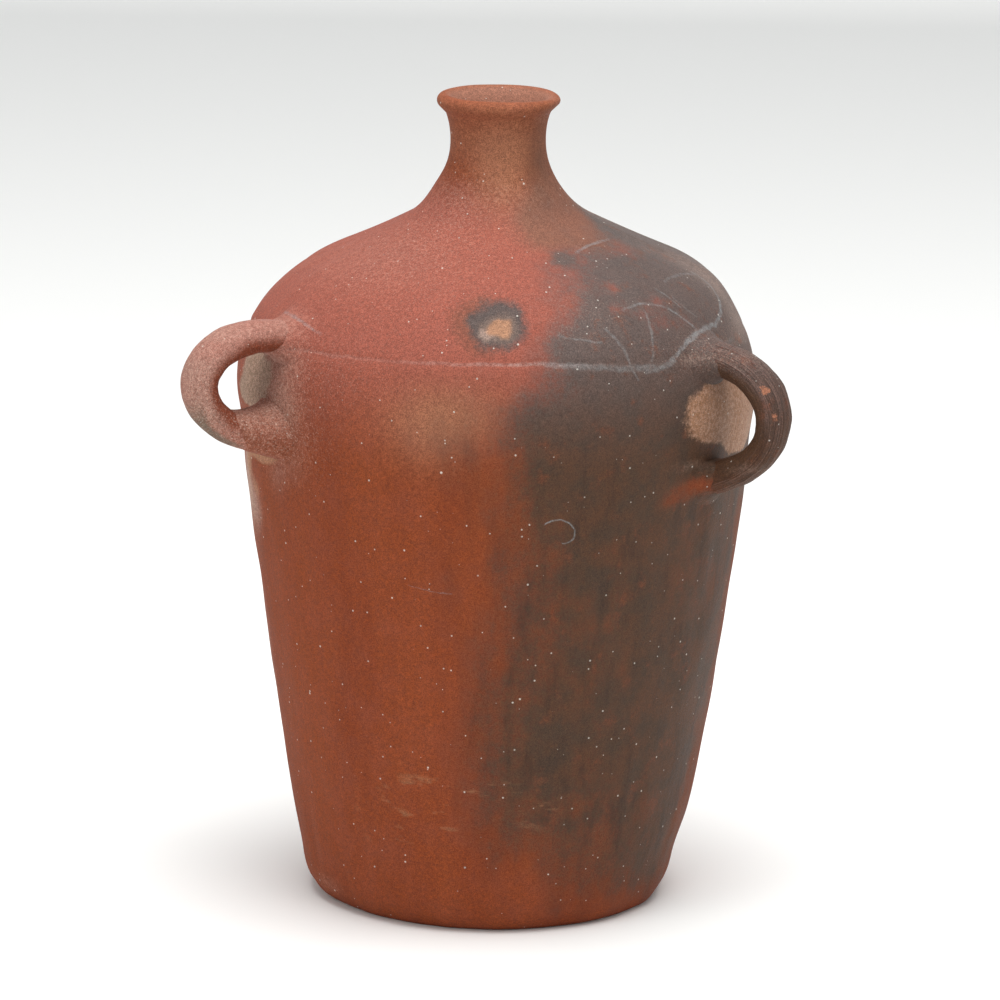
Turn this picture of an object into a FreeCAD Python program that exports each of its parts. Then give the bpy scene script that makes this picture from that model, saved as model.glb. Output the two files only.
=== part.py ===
import FreeCAD, Part
import math
import os

# A hand-built clay storage jar: floor slab, bowed wall, domed shoulder, narrow neck with a
# rolled lip, and two strap handles luted on at the shoulder. Millimetres. The origin is the
# middle of the foot, +Z is up, and -Y is the front, midway between the two handles.

# Heights of the body's turning points
belly_height = 333.0         # floor to the widest place
shoulder_rise = 155.0        # widest place to the narrowest place of the neck
lip_rise = 30.5              # narrowest place of the neck to the top of the lip

# Radii of the outside
foot_radius = 104.0          # flat of the foot
belly_radius = 165.3
lip_overhang = 2.2           # how far the lip stands out past the neck's hollow curve

# How the outside curves run into each other
foot_edge_round = 6.0        # small round where the foot meets the ground
heel_round = 45.0            # large round from the foot up to the wall
heel_start_lean = 45.0       # degrees from upright, where the small round ends
wall_foot_lean = 12.1        # degrees from upright, bottom of the wall
wall_belly_lean = 6.8        # degrees from upright, just under the belly
shoulder_slope = 25.0        # degrees from level, straight run below the neck
neck_round = 53.0            # hollow curve of the neck
lip_bead = 4.5               # radius of the rolled lip
lip_under_slope = 45.0       # degrees, underside of the lip

# Clay thickness and the bore
wall_thickness = 9.0
floor_thickness = 12.0
neck_wall = 8.0              # at the narrowest place of the neck
bore_radius = 23.0
bore_length = 10.0           # straight stretch that takes a bung
bore_drop = 2.0              # the bore starts this far below the waist

# Where the sections were joined, as heights on the outside
foot_joint_height = 9.0
seam_rise = 42.0             # belly to the seam under the shoulder
neck_joint_drop = 45.5       # waist down to the joint of neck and shoulder
lip_joint_drop = 12.5        # top of the lip down to the joint of lip and neck

# How each joint slants through the wall: degrees that it drops on its way in
foot_joint_slant = -35.0
seam_joint_slant = 20.0
neck_joint_slant = 50.0
lip_joint_slant = 0.0
joint_depth = 3.0            # a slant runs this many wall thicknesses in and out, then level

# Handles: strap loops on the shoulder, spread evenly about the front
handle_spread = 116.0        # degrees between the two
root_inset = 5.0             # the loop's centre line turns this far inside the belly radius
handles = {
    "left": {"side": -1, "top_rise": 49.5, "foot_drop": 19.0, "reach": 54.5, "lift": 2.5,
             "half_thick": 10.6, "half_width": 15.5},
    "right": {"side": 1, "top_rise": 34.5, "foot_drop": 32.5, "reach": 46.0, "lift": 0.0,
              "half_thick": 10.6, "half_width": 13.2},
}

# Luting clay round each strap end
collar_reach = 12.0          # how far it climbs along the strap, out from the wall
collar_tip = 2.0             # its thickness at the far end
collar_skirt = 8.0           # its thickness where it meets the wall

# How far the pieces run on into the jar before the jar is cut away, in wall thicknesses
strap_run_in = 4.0
collar_run_in = 2.0

# Stations worked out from the sizes above
waist_height = belly_height + shoulder_rise
top_height = waist_height + lip_rise
waist_radius = bore_radius + neck_wall
bead_height = top_height - lip_bead
neck_flare = neck_round - math.sqrt(neck_round ** 2 - (bead_height - waist_height) ** 2)
mouth_radius = waist_radius + neck_flare + lip_overhang
outer_limit = 2.0 * belly_radius      # a radius well clear of everything
axis_up = FreeCAD.Vector(0, 0, 1)


def at(radius, height):
    """A point of the profile half-plane."""
    return FreeCAD.Vector(radius, 0, height)


def on_round(centre, radius, degrees):
    """The point of a circle at an angle above the outward direction."""
    angle = math.radians(degrees)
    return centre + at(radius * math.cos(angle), radius * math.sin(angle))


def arc(centre, radius, start, end):
    """A circular edge about a centre, from one angle to another, in degrees."""
    middle = (start + end) / 2.0
    points = [on_round(centre, radius, angle) for angle in (start, middle, end)]
    return Part.Arc(*points).toShape()


def line(start, end):
    return Part.LineSegment(start, end).toShape()


def bezier(*points):
    curve = Part.BezierCurve()
    curve.setPoles(list(points))
    return curve.toShape()


def bowed(start, start_lean, end, end_lean):
    """A cubic edge that leaves and arrives at given leans, in degrees from upright."""
    third = (end.z - start.z) / 3.0
    low = start + at(third * math.tan(math.radians(start_lean)), third)
    high = end - at(third * math.tan(math.radians(end_lean)), third)
    return bezier(start, low, high, end)


def touching_angle(low_centre, low_radius, high_centre, high_radius):
    """Angle at which a straight line passes over a low round and under a high one."""
    run = high_centre - low_centre
    share = (low_radius + high_radius) / run.Length
    return math.degrees(math.atan2(run.z, run.x) - math.acos(share))


# Outside of the jar, from the foot up.
edge_centre = at(foot_radius, foot_edge_round)
heel_start = on_round(edge_centre, foot_edge_round, -heel_start_lean)
heel_centre = on_round(heel_start, heel_round, 180.0 - heel_start_lean)
wall_start = on_round(heel_centre, heel_round, -wall_foot_lean)

neck_centre = at(waist_radius + neck_round, waist_height)
shoulder_angle = 90.0 - shoulder_slope
neck_start = on_round(neck_centre, neck_round, 180.0 + shoulder_angle)

# The dome is the one round that is upright at the belly and runs into the straight shoulder.
normal = on_round(at(0, 0), 1.0, shoulder_angle)
height_over_belly = (neck_start - at(belly_radius, belly_height)).dot(normal)
dome_radius = height_over_belly / (1.0 - normal.x)
dome_centre = at(belly_radius - dome_radius, belly_height)
wall_end = on_round(dome_centre, dome_radius, -wall_belly_lean)
shoulder_start = on_round(dome_centre, dome_radius, shoulder_angle)

# The lip's underside is a straight run between the bead and the neck's hollow curve.
bead_centre = at(mouth_radius - lip_bead, bead_height)
under_start = on_round(bead_centre, lip_bead, -lip_under_slope)
under_way = on_round(at(0, 0), 1.0, 180.0 + lip_under_slope)
to_neck = under_start - neck_centre
along = to_neck.dot(under_way)
under_length = -along + math.sqrt(along ** 2 - to_neck.dot(to_neck) + neck_round ** 2)
under_end = under_start + under_way * under_length
neck_top_angle = math.degrees(math.atan2(under_end.z - waist_height, under_end.x - neck_centre.x))

outside = [
    line(at(0, 0), at(foot_radius, 0)),
    arc(edge_centre, foot_edge_round, -90.0, -heel_start_lean),
    arc(heel_centre, heel_round, -heel_start_lean, -wall_foot_lean),
    bowed(wall_start, wall_foot_lean, wall_end, wall_belly_lean),
    arc(dome_centre, dome_radius, -wall_belly_lean, shoulder_angle),
    line(shoulder_start, neck_start),
    arc(neck_centre, neck_round, 180.0 + shoulder_angle, neck_top_angle),
    line(under_end, under_start),
    arc(bead_centre, lip_bead, -lip_under_slope, 90.0),
]
lip_top = at(bead_centre.x, top_height)

# Inside of the jar, from the lip down. The mouth's flare runs into the bead, and the other
# curves follow the outside at the wall's thickness.
bore_top = at(bore_radius, waist_height - bore_drop + bore_length)
bore_bottom = at(bore_radius, waist_height - bore_drop)
flare_rise = bead_centre.z - bore_top.z
flare_run = bead_centre.x - bore_radius
flare_radius = (flare_rise ** 2 + flare_run ** 2 - lip_bead ** 2) / (2.0 * (flare_run - lip_bead))
flare_centre = at(bore_radius + flare_radius, bore_top.z)
flare_angle = 180.0 - math.degrees(math.atan2(flare_rise, flare_radius - flare_run))

inner_neck_centre = at(neck_centre.x, bore_bottom.z)
inner_neck_round = neck_centre.x - bore_radius
inner_dome_radius = dome_radius - wall_thickness
inner_angle = touching_angle(dome_centre, inner_dome_radius, inner_neck_centre, inner_neck_round)
inner_neck_end = on_round(inner_neck_centre, inner_neck_round, 180.0 + inner_angle)
inner_dome_start = on_round(dome_centre, inner_dome_radius, inner_angle)
inner_wall_end = on_round(dome_centre, inner_dome_radius, -wall_belly_lean)
inner_wall_start = on_round(wall_start, -wall_thickness, -wall_foot_lean)
inner_heel_rise = inner_wall_start.z - floor_thickness
inner_heel_round = inner_heel_rise / (1.0 - math.sin(math.radians(wall_foot_lean)))
inner_heel_centre = on_round(inner_wall_start, -inner_heel_round, -wall_foot_lean)
floor_edge = at(inner_heel_centre.x, floor_thickness)

inside = [
    arc(bead_centre, lip_bead, 90.0, flare_angle),
    arc(flare_centre, flare_radius, flare_angle, 180.0),
    line(bore_top, bore_bottom),
    arc(inner_neck_centre, inner_neck_round, 180.0, 180.0 + inner_angle),
    line(inner_neck_end, inner_dome_start),
    arc(dome_centre, inner_dome_radius, inner_angle, -wall_belly_lean),
    bowed(inner_wall_end, wall_belly_lean, inner_wall_start, wall_foot_lean),
    arc(inner_heel_centre, inner_heel_round, -wall_foot_lean, -90.0),
    line(floor_edge, at(0, floor_thickness)),
]


def face_of(edges):
    ordered = Part.__sortEdges__(edges)
    return Part.Face(Part.Wire(ordered))


def turned(face):
    """The solid that a profile face makes round the jar's axis."""
    solid = face.revolve(at(0, 0), axis_up, 360)
    return solid if solid.ShapeType == "Solid" else Part.makeSolid(solid)


clay_face = face_of(outside + inside + [line(at(0, floor_thickness), at(0, 0))])
filling = [line(lip_top, at(0, top_height)), line(at(0, top_height), at(0, 0))]
filled_face = face_of(outside + filling)
filled_jar = turned(filled_face)


def outer_radius(height):
    """Radius of the outside of the jar at a height."""
    cut = filled_face.common(line(at(0, height), at(outer_limit, height)))
    return cut.BoundBox.XMax


def joint_path(height, inward_drop):
    """Line of a luted joint: through the wall at a slant, then level to the axis and outward."""
    outer = at(outer_radius(height), height)
    slant = on_round(at(0, 0), joint_depth * wall_thickness, 180.0 + inward_drop)
    inner = outer + slant
    beyond = outer - slant
    return [at(0, inner.z), inner, beyond, at(outer_limit, beyond.z)]


def section(lower, upper):
    """The clay between two joints, as a solid."""
    corners = lower + list(reversed(upper))
    frame = Part.Face(Part.makePolygon(corners + [corners[0]]))
    return turned(clay_face.common(frame).Faces[0])


below = [at(0, -wall_thickness), at(outer_limit, -wall_thickness)]
above = [at(0, top_height + wall_thickness), at(outer_limit, top_height + wall_thickness)]
foot_joint = joint_path(foot_joint_height, foot_joint_slant)
seam_joint = joint_path(belly_height + seam_rise, seam_joint_slant)
neck_joint = joint_path(waist_height - neck_joint_drop, neck_joint_slant)
lip_joint = joint_path(top_height - lip_joint_drop, lip_joint_slant)

parts = {
    "floor_slab": section(below, foot_joint),
    "lower_wall": section(foot_joint, seam_joint),
    "shoulder_dome": section(seam_joint, neck_joint),
    "neck": section(neck_joint, lip_joint),
    "lip_ring": section(lip_joint, above),
}


def oval(centre, half_width, half_thick):
    """A closed oval standing across the strap: width along Y, thickness along Z."""
    across = centre + FreeCAD.Vector(0, half_width, 0)
    upward = centre + FreeCAD.Vector(0, 0, half_thick)
    ends = (across, upward) if half_width >= half_thick else (upward, across)
    return Part.Wire(Part.Ellipse(ends[0], ends[1], centre).toShape())


def strap(handle):
    """The strap along its loop, run on into the jar, in the profile half-plane."""
    high = belly_height + handle["top_rise"]
    low = belly_height - handle["foot_drop"]
    turn = belly_radius - root_inset
    tip = at(turn + handle["reach"], (high + low) / 2.0 + handle["lift"])
    round_share = 4.0 / 3.0 * (math.sqrt(2.0) - 1.0)     # cubic handle length of a quarter round
    pull = at(handle["reach"] * round_share, 0)
    inner = turn - strap_run_in * wall_thickness
    upper = [at(turn, high), at(turn, high) + pull, tip + at(0, (high - tip.z) * round_share), tip]
    lower = [tip, tip - at(0, (tip.z - low) * round_share), at(turn, low) + pull, at(turn, low)]
    path = Part.Wire([line(at(inner, high), upper[0]), bezier(*upper), bezier(*lower),
                      line(lower[-1], at(inner, low))])
    ring = oval(at(inner, high), handle["half_width"], handle["half_thick"])
    return path.makePipeShell([ring], True, False)


def collar(handle, height):
    """A flared cuff of clay round a strap end, still without its hole."""
    wall = outer_radius(height)
    buried = -collar_run_in * wall_thickness
    stations = [(buried, collar_skirt), (0.0, collar_skirt), (collar_reach, collar_tip)]
    rings = [oval(at(wall + out, height), handle["half_width"] + extra, handle["half_thick"] + extra)
             for out, extra in stations]
    return Part.makeLoft(rings, True, False)


for name, handle in handles.items():
    azimuth = -90.0 + handle["side"] * handle_spread / 2.0
    high = belly_height + handle["top_rise"]
    low = belly_height - handle["foot_drop"]
    solid_strap = strap(handle)
    pieces = {
        "handle": solid_strap.cut(filled_jar),
        "upper_root": collar(handle, high).cut([solid_strap, filled_jar]),
        "lower_root": collar(handle, low).cut([solid_strap, filled_jar]),
    }
    for piece, shape in pieces.items():
        largest = max(shape.Solids, key=lambda solid: solid.Volume)
        largest.rotate(at(0, 0), axis_up, azimuth)
        parts[name + "_" + piece] = largest

os.makedirs("parts", exist_ok=True)
for name, shape in parts.items():
    shape.exportStep("parts/" + name + ".step")
    print(name, len(shape.Solids), "solid", shape.isValid(), round(shape.Volume / 1000.0, 1), "cm3")
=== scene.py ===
import math

import bpy
import numpy as np
from mathutils import Matrix, Vector


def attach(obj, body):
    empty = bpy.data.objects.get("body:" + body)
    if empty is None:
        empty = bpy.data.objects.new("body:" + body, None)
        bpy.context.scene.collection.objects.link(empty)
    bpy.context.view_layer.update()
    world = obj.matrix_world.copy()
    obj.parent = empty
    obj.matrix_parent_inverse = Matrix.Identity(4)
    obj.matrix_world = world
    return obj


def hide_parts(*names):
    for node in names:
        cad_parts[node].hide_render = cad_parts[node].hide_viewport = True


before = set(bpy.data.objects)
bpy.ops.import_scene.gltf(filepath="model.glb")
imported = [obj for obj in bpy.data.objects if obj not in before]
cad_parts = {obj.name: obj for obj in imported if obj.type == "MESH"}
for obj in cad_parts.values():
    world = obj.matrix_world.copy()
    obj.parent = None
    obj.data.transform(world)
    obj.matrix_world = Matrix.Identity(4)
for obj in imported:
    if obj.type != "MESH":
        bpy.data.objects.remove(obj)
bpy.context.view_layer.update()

# A smoke-fired clay storage jar. The clay pieces are worked out in millimetres and turned into
# metres when their meshes are made. A turn is the angle round the jar in degrees: 0 is the
# front (-Y) and 90 is +X.
toMetres = 0.001
columns = 400                       # mesh columns round the jar
turns = np.linspace(-180.0, 180.0, columns, endpoint=False)

jar = {
    "bellyHeight": 333.0, "shoulderRise": 155.0, "lipRise": 30.5,
    "footRadius": 104.0, "bellyRadius": 165.3, "lipOverhang": 2.2,
    "footEdgeRound": 6.0, "heelRound": 45.0, "heelStartLean": 45.0,
    "wallFootLean": 12.1, "wallBellyLean": 6.8, "shoulderSlope": 25.0,
    "neckRound": 53.0, "lipBead": 4.5, "lipUnderSlope": 45.0,
    "wall": 9.0, "floor": 12.0, "neckWall": 8.0,
    "boreRadius": 23.0, "boreLength": 10.0, "boreDrop": 2.0,
}


def polar(radius, degrees):
    # radius * (cos, sin) of an angle above the outward direction
    angle = np.radians(np.asarray(degrees, float))
    return radius * np.stack([np.cos(angle), np.sin(angle)], -1)


def roundRun(centre, radius, start, end, count=48):
    # centre + radius * (cos, sin), the angle going evenly from start to end
    return np.asarray(centre) + polar(radius, np.linspace(start, end, count))


def cubicRun(a, b, c, d, count=60):
    # Bezier curve of four points
    t = np.linspace(0.0, 1.0, count)[:, None]
    return (1 - t) ** 3 * a + 3 * (1 - t) ** 2 * t * b + 3 * (1 - t) * t ** 2 * c + t ** 3 * d


def bowedRun(start, startLean, end, endLean):
    # cubic curve whose two handles rise a third of the way, at the leans from upright
    third = (end[1] - start[1]) / 3.0
    low = start + third * np.array([math.tan(math.radians(startLean)), 1.0])
    high = end - third * np.array([math.tan(math.radians(endLean)), 1.0])
    return cubicRun(start, low, high, end, 160)


def joined(runs):
    # the runs one after another, without the points they share
    points = np.concatenate(runs)
    moved = np.linalg.norm(np.diff(points, axis=0), axis=1) > 1e-6
    return points[np.concatenate([[True], moved])]


def reachOf(points):
    # length travelled along the points
    return np.concatenate([[0.0], np.cumsum(np.linalg.norm(np.diff(points, axis=0), axis=1))])


def sample(points, reach):
    # the points read at lengths along them, for a whole array of lengths
    travelled = reachOf(points)
    return np.stack([np.interp(reach, travelled, points[:, axis]) for axis in (0, 1)], -1)


def jarOutlines(j):
    # outside from the foot's middle to the lip, inside from the lip to the floor's middle
    edgeCentre = np.array([j["footRadius"], j["footEdgeRound"]])
    heelStart = edgeCentre + polar(j["footEdgeRound"], -j["heelStartLean"])
    heelCentre = heelStart + polar(j["heelRound"], 180.0 - j["heelStartLean"])
    wallStart = heelCentre + polar(j["heelRound"], -j["wallFootLean"])
    waist = j["bellyHeight"] + j["shoulderRise"]
    neckCentre = np.array([j["boreRadius"] + j["neckWall"] + j["neckRound"], waist])
    steep = 90.0 - j["shoulderSlope"]
    neckStart = neckCentre + polar(j["neckRound"], 180.0 + steep)
    normal = polar(1.0, steep)
    dome = (neckStart - [j["bellyRadius"], j["bellyHeight"]]) @ normal / (1.0 - normal[0])
    domeCentre = np.array([j["bellyRadius"] - dome, j["bellyHeight"]])
    wallEnd = domeCentre + polar(dome, -j["wallBellyLean"])
    top = waist + j["lipRise"]
    beadHeight = top - j["lipBead"]
    flare = j["neckRound"] - math.sqrt(j["neckRound"] ** 2 - (beadHeight - waist) ** 2)
    mouth = j["boreRadius"] + j["neckWall"] + flare + j["lipOverhang"]
    beadCentre = np.array([mouth - j["lipBead"], beadHeight])
    underStart = beadCentre + polar(j["lipBead"], -j["lipUnderSlope"])
    underWay = polar(1.0, 180.0 + j["lipUnderSlope"])
    toNeck = underStart - neckCentre
    run = toNeck @ underWay
    slide = math.sqrt(run ** 2 - toNeck @ toNeck + j["neckRound"] ** 2) - run
    underEnd = underStart + underWay * slide
    neckEnd = math.degrees(math.atan2(underEnd[1] - waist, underEnd[0] - neckCentre[0])) % 360.0
    outside = joined([
        np.array([[0.0, 0.0], [j["footRadius"], 0.0]]),
        roundRun(edgeCentre, j["footEdgeRound"], -90.0, -j["heelStartLean"], 16),
        roundRun(heelCentre, j["heelRound"], -j["heelStartLean"], -j["wallFootLean"]),
        bowedRun(wallStart, j["wallFootLean"], wallEnd, j["wallBellyLean"]),
        roundRun(domeCentre, dome, -j["wallBellyLean"], steep, 90),
        roundRun(neckCentre, j["neckRound"], 180.0 + steep, neckEnd, 80),
        underStart[None, :],
        roundRun(beadCentre, j["lipBead"], -j["lipUnderSlope"], 90.0, 30)])
    boreTop = waist - j["boreDrop"] + j["boreLength"]
    rise, out = beadHeight - boreTop, beadCentre[0] - j["boreRadius"]
    mouthFlare = (rise ** 2 + out ** 2 - j["lipBead"] ** 2) / (2.0 * (out - j["lipBead"]))
    flareCentre = np.array([j["boreRadius"] + mouthFlare, boreTop])
    flareAngle = 180.0 - math.degrees(math.atan2(rise, mouthFlare - out))
    innerNeck = np.array([neckCentre[0], waist - j["boreDrop"]])
    innerRound, innerDome = neckCentre[0] - j["boreRadius"], dome - j["wall"]
    way = innerNeck - domeCentre
    bend = math.acos((innerDome + innerRound) / np.linalg.norm(way))
    tilt = math.degrees(math.atan2(way[1], way[0]) - bend)
    innerFoot = wallStart - polar(j["wall"], -j["wallFootLean"])
    innerHeel = (innerFoot[1] - j["floor"]) / (1.0 - math.sin(math.radians(j["wallFootLean"])))
    innerHeelCentre = innerFoot - polar(innerHeel, -j["wallFootLean"])
    innerEnd = domeCentre + polar(innerDome, -j["wallBellyLean"])
    inside = joined([
        roundRun(beadCentre, j["lipBead"], 90.0, flareAngle, 20),
        roundRun(flareCentre, mouthFlare, flareAngle, 180.0, 24),
        roundRun(innerNeck, innerRound, 180.0, 180.0 + tilt, 60),
        roundRun(domeCentre, innerDome, tilt, -j["wallBellyLean"], 60),
        bowedRun(innerEnd, j["wallBellyLean"], innerFoot, j["wallFootLean"]),
        roundRun(innerHeelCentre, innerHeel, -j["wallFootLean"], -90.0, 24),
        np.array([[0.0, j["floor"]]])])
    return outside, inside


outside, inside = jarOutlines(jar)
print("outlines", outside.shape, inside.shape)

# How far the hand-built surface strays from the true curve. Each push is (turn, height, spread
# in turn, spread in height, outward millimetres), each wave (lobes, height step, millimetres, start).
unevenness = {
    "pushes": [
        (-88, 424, 42, 20, -4.0), (-80, 398, 34, 16, -2.2), (88, 400, 30, 14, 2.0), (84, 430, 30, 13, -1.0),
        (80, 506, 46, 20, -2.4), (75, 478, 50, 16, -1.3), (-90, 459, 40, 12, 1.6), (-86, 302, 24, 22, -1.6),
        (88, 300, 24, 22, -1.2), (80, 28, 46, 24, -3.0), (-76, 12, 30, 12, 2.0), (20, 250, 26, 60, 0.9),
        (-30, 180, 30, 50, -0.7), (30, 120, 22, 40, -0.8), (150, 380, 40, 40, 1.2),
        (-150, 230, 50, 60, -1.0), (-10, 372, 60, 6, 0.5), (2, 396, 5.5, 9, -1.2), (120, 90, 40, 50, 1.1),
    ],
    "waves": [(3, 70.0, 0.35, 0.3), (5, 41.0, 0.28, 1.9), (8, 29.0, 0.16, 4.1)],
    "facetWidth": 15.0, "facetHeight": 46.0, "facetDepth": 0.55,    # upright scraping marks
    "lumpSize": 26.0, "lumpDepth": 0.5,
    "bodyTop": 430.0, "bodyFade": 12.0,                             # marks and lumps end at this height
    "lipFrom": 500.0, "lipFade": 4.0, "lipCalm": 0.8,               # the lip was wiped level
    "seamHeight": 375.0, "seamDip": 15.0, "seamTurns": 80.0, "seamSpread": 34.0,    # it dips at the sides
    "groove": 0.7, "grooveHalf": 2.2, "grooveBeats": 7, "grooveBeat": 0.25,
    "footEase": 8.0, "mouthEase": 26.0, "rimEase": 6.0,             # millimetres over which it sets in
}


def softNoise(across, up, cells, seed):
    # random values on a lattice, blended with the smooth step 3t^2 - 2t^3; wraps after so many cells
    rows = 64
    dice = np.random.default_rng(seed).uniform(-1.0, 1.0, (cells, rows))
    column, row = np.floor(across).astype(int), np.floor(up).astype(int)
    u, v = across - column, up - row
    u, v = u * u * (3 - 2 * u), v * v * (3 - 2 * v)
    left, right, low, high = column % cells, (column + 1) % cells, row % rows, (row + 1) % rows
    bottom = dice[left, low] * (1 - u) + dice[right, low] * u
    return bottom * (1 - v) + (dice[left, high] * (1 - u) + dice[right, high] * u) * v


def turnGap(turn, centre):
    # signed difference of two turns, the short way round
    return (turn - centre + 180.0) % 360.0 - 180.0


def blobs(turn, height, spots):
    # sum of amount * exp(-(turn gap / spread)^2 - (height gap / spread)^2)
    total = np.zeros(np.broadcast(turn, height).shape)
    for centre, middle, wide, tall, amount in spots:
        total += amount * np.exp(-(turnGap(turn, centre) / wide) ** 2 - ((height - middle) / tall) ** 2)
    return total


def seamShift(turn):
    # the joint's height minus its level height: -dip * (1 - cos turn), fading towards the back
    fade = np.exp(-(turn / unevenness["seamTurns"]) ** 2)
    return -unevenness["seamDip"] * (1.0 - np.cos(np.radians(turn))) * fade


def softStep(value, limit, fade):
    # 1 / (1 + e^((limit - value) / fade)): 0 well below the limit and 1 well above
    return 1.0 / (1.0 + np.exp((limit - value) / fade))


def pushOut(turn, height):
    # outward millimetres over the true curve: pushes + waves + facets + lumps - the joint's groove
    u = unevenness
    calm = 1.0 - u["lipCalm"] * softStep(height, u["lipFrom"], u["lipFade"])
    total = blobs(turn, height, u["pushes"])
    for lobes, step, depth, start in u["waves"]:
        total = total + calm * depth * np.sin(lobes * np.radians(turn) + height / step + start)
    body = 1.0 - softStep(height, u["bodyTop"], u["bodyFade"])
    for size, tall, depth, seed in ((u["facetWidth"], u["facetHeight"], u["facetDepth"], 11),
                                    (u["lumpSize"], u["lumpSize"], u["lumpDepth"], 12)):
        cells = int(2.0 * math.pi * jar["bellyRadius"] / size)
        across = (turn + 180.0) / 360.0 * cells
        total = total + body * depth * softNoise(across, height / tall, cells, seed)
    seam = height - u["seamHeight"] - seamShift(turn)
    beat = 1.0 - u["grooveBeat"] + u["grooveBeat"] * np.sin(np.radians(turn) * u["grooveBeats"])
    return total - u["groove"] * np.exp(-(seam / u["grooveHalf"]) ** 2) * beat


def wallRadius(turn, height):
    # outside radius of the jar, unevenness included
    return np.interp(height, outside[:, 1], outside[:, 0]) + pushOut(turn, height)


def placed(radius, turn, height):
    # x, y, z from radius, turn and height
    angle = np.radians(turn)
    return np.stack([radius * np.sin(angle), -radius * np.cos(angle), height + 0.0 * angle], -1)


def gridFaces(rows, cols, closeRows):
    # four corners of every cell; columns always wrap, rows wrap when asked
    last = rows if closeRows else rows - 1
    i, k = np.meshgrid(np.arange(last), np.arange(cols), indexing="ij")
    below, beside = (i + 1) % rows, (k + 1) % cols
    corners = [i * cols + k, i * cols + beside, below * cols + beside, below * cols + k]
    return np.stack(corners, -1).reshape(-1, 4)


sharpFrom = 50.0         # degrees between faces from which a corner stays crisp


def solidMesh(name, grid, closeRows=True, capEnds=False):
    # a closed skin over a (rows, columns, 3) grid in millimetres, faces outward
    rows, cols = grid.shape[:2]
    points = grid.reshape(-1, 3)
    quads = gridFaces(rows, cols, closeRows)
    fans = np.zeros((0, 3), int)
    if capEnds:
        points = np.vstack([points, grid[0].mean(0), grid[-1].mean(0)])
        k = np.arange(cols)
        base, first, final = (rows - 1) * cols, rows * cols, rows * cols + 1
        start = np.stack([(k + 1) % cols, k, np.full(cols, first)], -1)
        stop = np.stack([base + k, base + (k + 1) % cols, np.full(cols, final)], -1)
        fans = np.vstack([start, stop])
    a, b, c, d = (points[quads[:, corner]] for corner in range(4))
    if np.sum(a * np.cross(c - a, d - b)) < 0:              # six times the volume: the faces look inward
        quads, fans = quads[:, ::-1], fans[:, ::-1]
    mesh = bpy.data.meshes.new(name)
    mesh.from_pydata((points * toMetres).tolist(), [], quads.tolist() + fans.tolist())
    mesh.polygons.foreach_set("use_smooth", np.ones(len(mesh.polygons), bool))
    mesh.validate()
    mesh.update()
    mesh.set_sharp_from_angle(angle=math.radians(sharpFrom))
    piece = bpy.data.objects.new(name, mesh)
    bpy.context.scene.collection.objects.link(piece)
    return piece, points


def givePaint(piece, name, values):
    # one number per vertex, for the material to read
    layer = piece.data.attributes.new(name, "FLOAT", "POINT")
    layer.data.foreach_set("value", np.ascontiguousarray(values, np.float32))


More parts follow.
